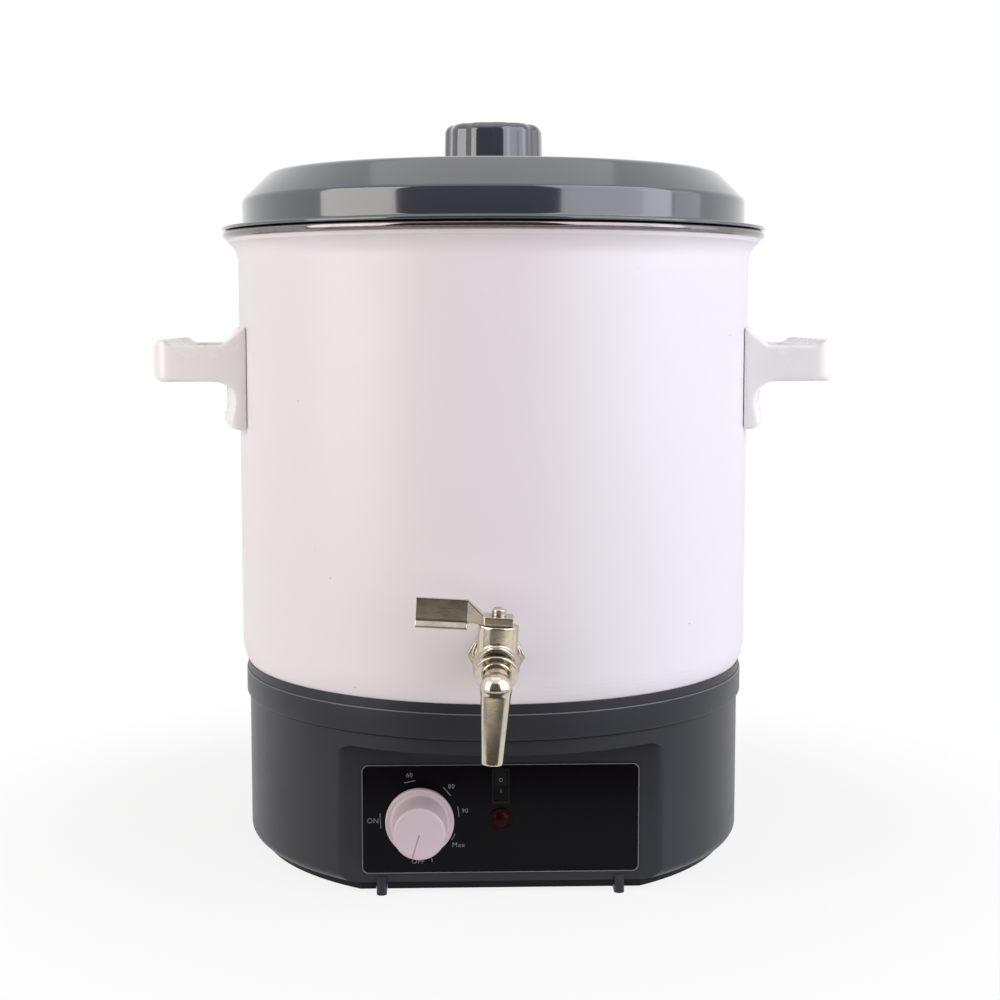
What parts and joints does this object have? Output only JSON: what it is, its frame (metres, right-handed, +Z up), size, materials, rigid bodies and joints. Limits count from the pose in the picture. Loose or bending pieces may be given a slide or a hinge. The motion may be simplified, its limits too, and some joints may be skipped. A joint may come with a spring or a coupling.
{
  "type": "candle wax melter",
  "caption": "Round electric wax melter: white enamelled pot with side handles and drain tap on a grey heated base with dial, switch and lamp, under a domed lid.",
  "frame": {"origin": "on the pot's axis in the plane of the feet, 3 mm below the flat bottom plate", "axes": "+Z up along the pot's axis, -Y towards the control panel and tap, +X to the viewer's right"},
  "size_m": [0.461, 0.43, 0.503],
  "materials": {
    "housing": "satin slate grey",
    "black_plastic": "black, fine grain",
    "zinc_steel": "zinc plated",
    "terminal_plastic": "natural",
    "panel_gloss": "high gloss black",
    "copper_bulb": "copper",
    "lamp_red": "dark red, translucent",
    "aluminium_plate": "plain",
    "element_steel": "heat darkened",
    "seal_rubber": "black silicone",
    "enamel": "white enamel on 0.8 mm steel",
    "rim_steel": "polished steel",
    "handle_plastic": "white",
    "tap_rubber": "translucent silicone",
    "nickel": "nickel plated brass",
    "ptfe": "white",
    "lid_plastic": "slate grey",
    "dial_plastic": "white"
  },
  "bodies": {
    "base": {"base_housing": "housing", "base_collar": "housing", "bottom_plate": "black_plastic", "bottom_screws": "zinc_steel", "feet": "housing", "cord_gland": "black_plastic", "gland_nut": "black_plastic", "terminal_block": "terminal_plastic", "control_panel": "panel_gloss", "thermostat_body": "zinc_steel", "thermostat_nut": "zinc_steel", "sensor_bulb": "copper_bulb", "switch_body": "black_plastic", "lamp_body": "lamp_red", "lamp_lens": "lamp_red", "heater_plate": "aluminium_plate", "heating_element": "element_steel", "heat_shield": "zinc_steel", "thermal_cutout": "black_plastic", "clamp_stud": "zinc_steel", "clamp_nut": "zinc_steel", "pot_seal": "seal_rubber", "pot": "enamel", "rim_ring": "rim_steel", "handle_left": "handle_plastic", "handle_right": "handle_plastic", "handle_screws": "zinc_steel", "tap_seal_outer": "tap_rubber", "tap_seal_inner": "tap_rubber", "tap_hex_nut": "nickel", "tap_back_nut": "nickel", "tap_body": "nickel", "tap_spout": "nickel", "tap_seats": "ptfe", "tap_packing": "ptfe"},
    "lid": {"lid_shell": "lid_plastic", "lid_knob": "lid_plastic", "lid_knob_screw": "zinc_steel", "lid_washer": "zinc_steel"},
    "tap_handle": {"tap_ball": "nickel", "tap_stem": "nickel", "tap_lever": "nickel", "tap_lever_screw": "nickel"},
    "dial": {"dial_knob": "dial_plastic", "dial_spindle": "zinc_steel"},
    "rocker": {"switch_rocker": "black_plastic"}
  },
  "joints": [
    {"name": "lid_lift", "type": "slide", "parent": "base", "child": "lid", "axis": [0, 0, 1], "range_m": [0, 0.25]},
    {"name": "tap_turn", "type": "hinge", "parent": "base", "child": "tap_handle", "pos_m": [-0.0039, -0.20247, 0.18497], "axis": [0.0523, -0.0013, 0.9986], "range_deg": [0, 90]},
    {"name": "dial_turn", "type": "hinge", "parent": "base", "child": "dial", "pos_m": [-0.052, -0.15, 0.0485], "axis": [0, 1, 0], "range_deg": [0, 288]},
    {"name": "rocker_tilt", "type": "hinge", "parent": "base", "child": "rocker", "pos_m": [0, -0.1392, 0.071], "axis": [1, 0, 0], "range_deg": [0, 14]}
  ]
}
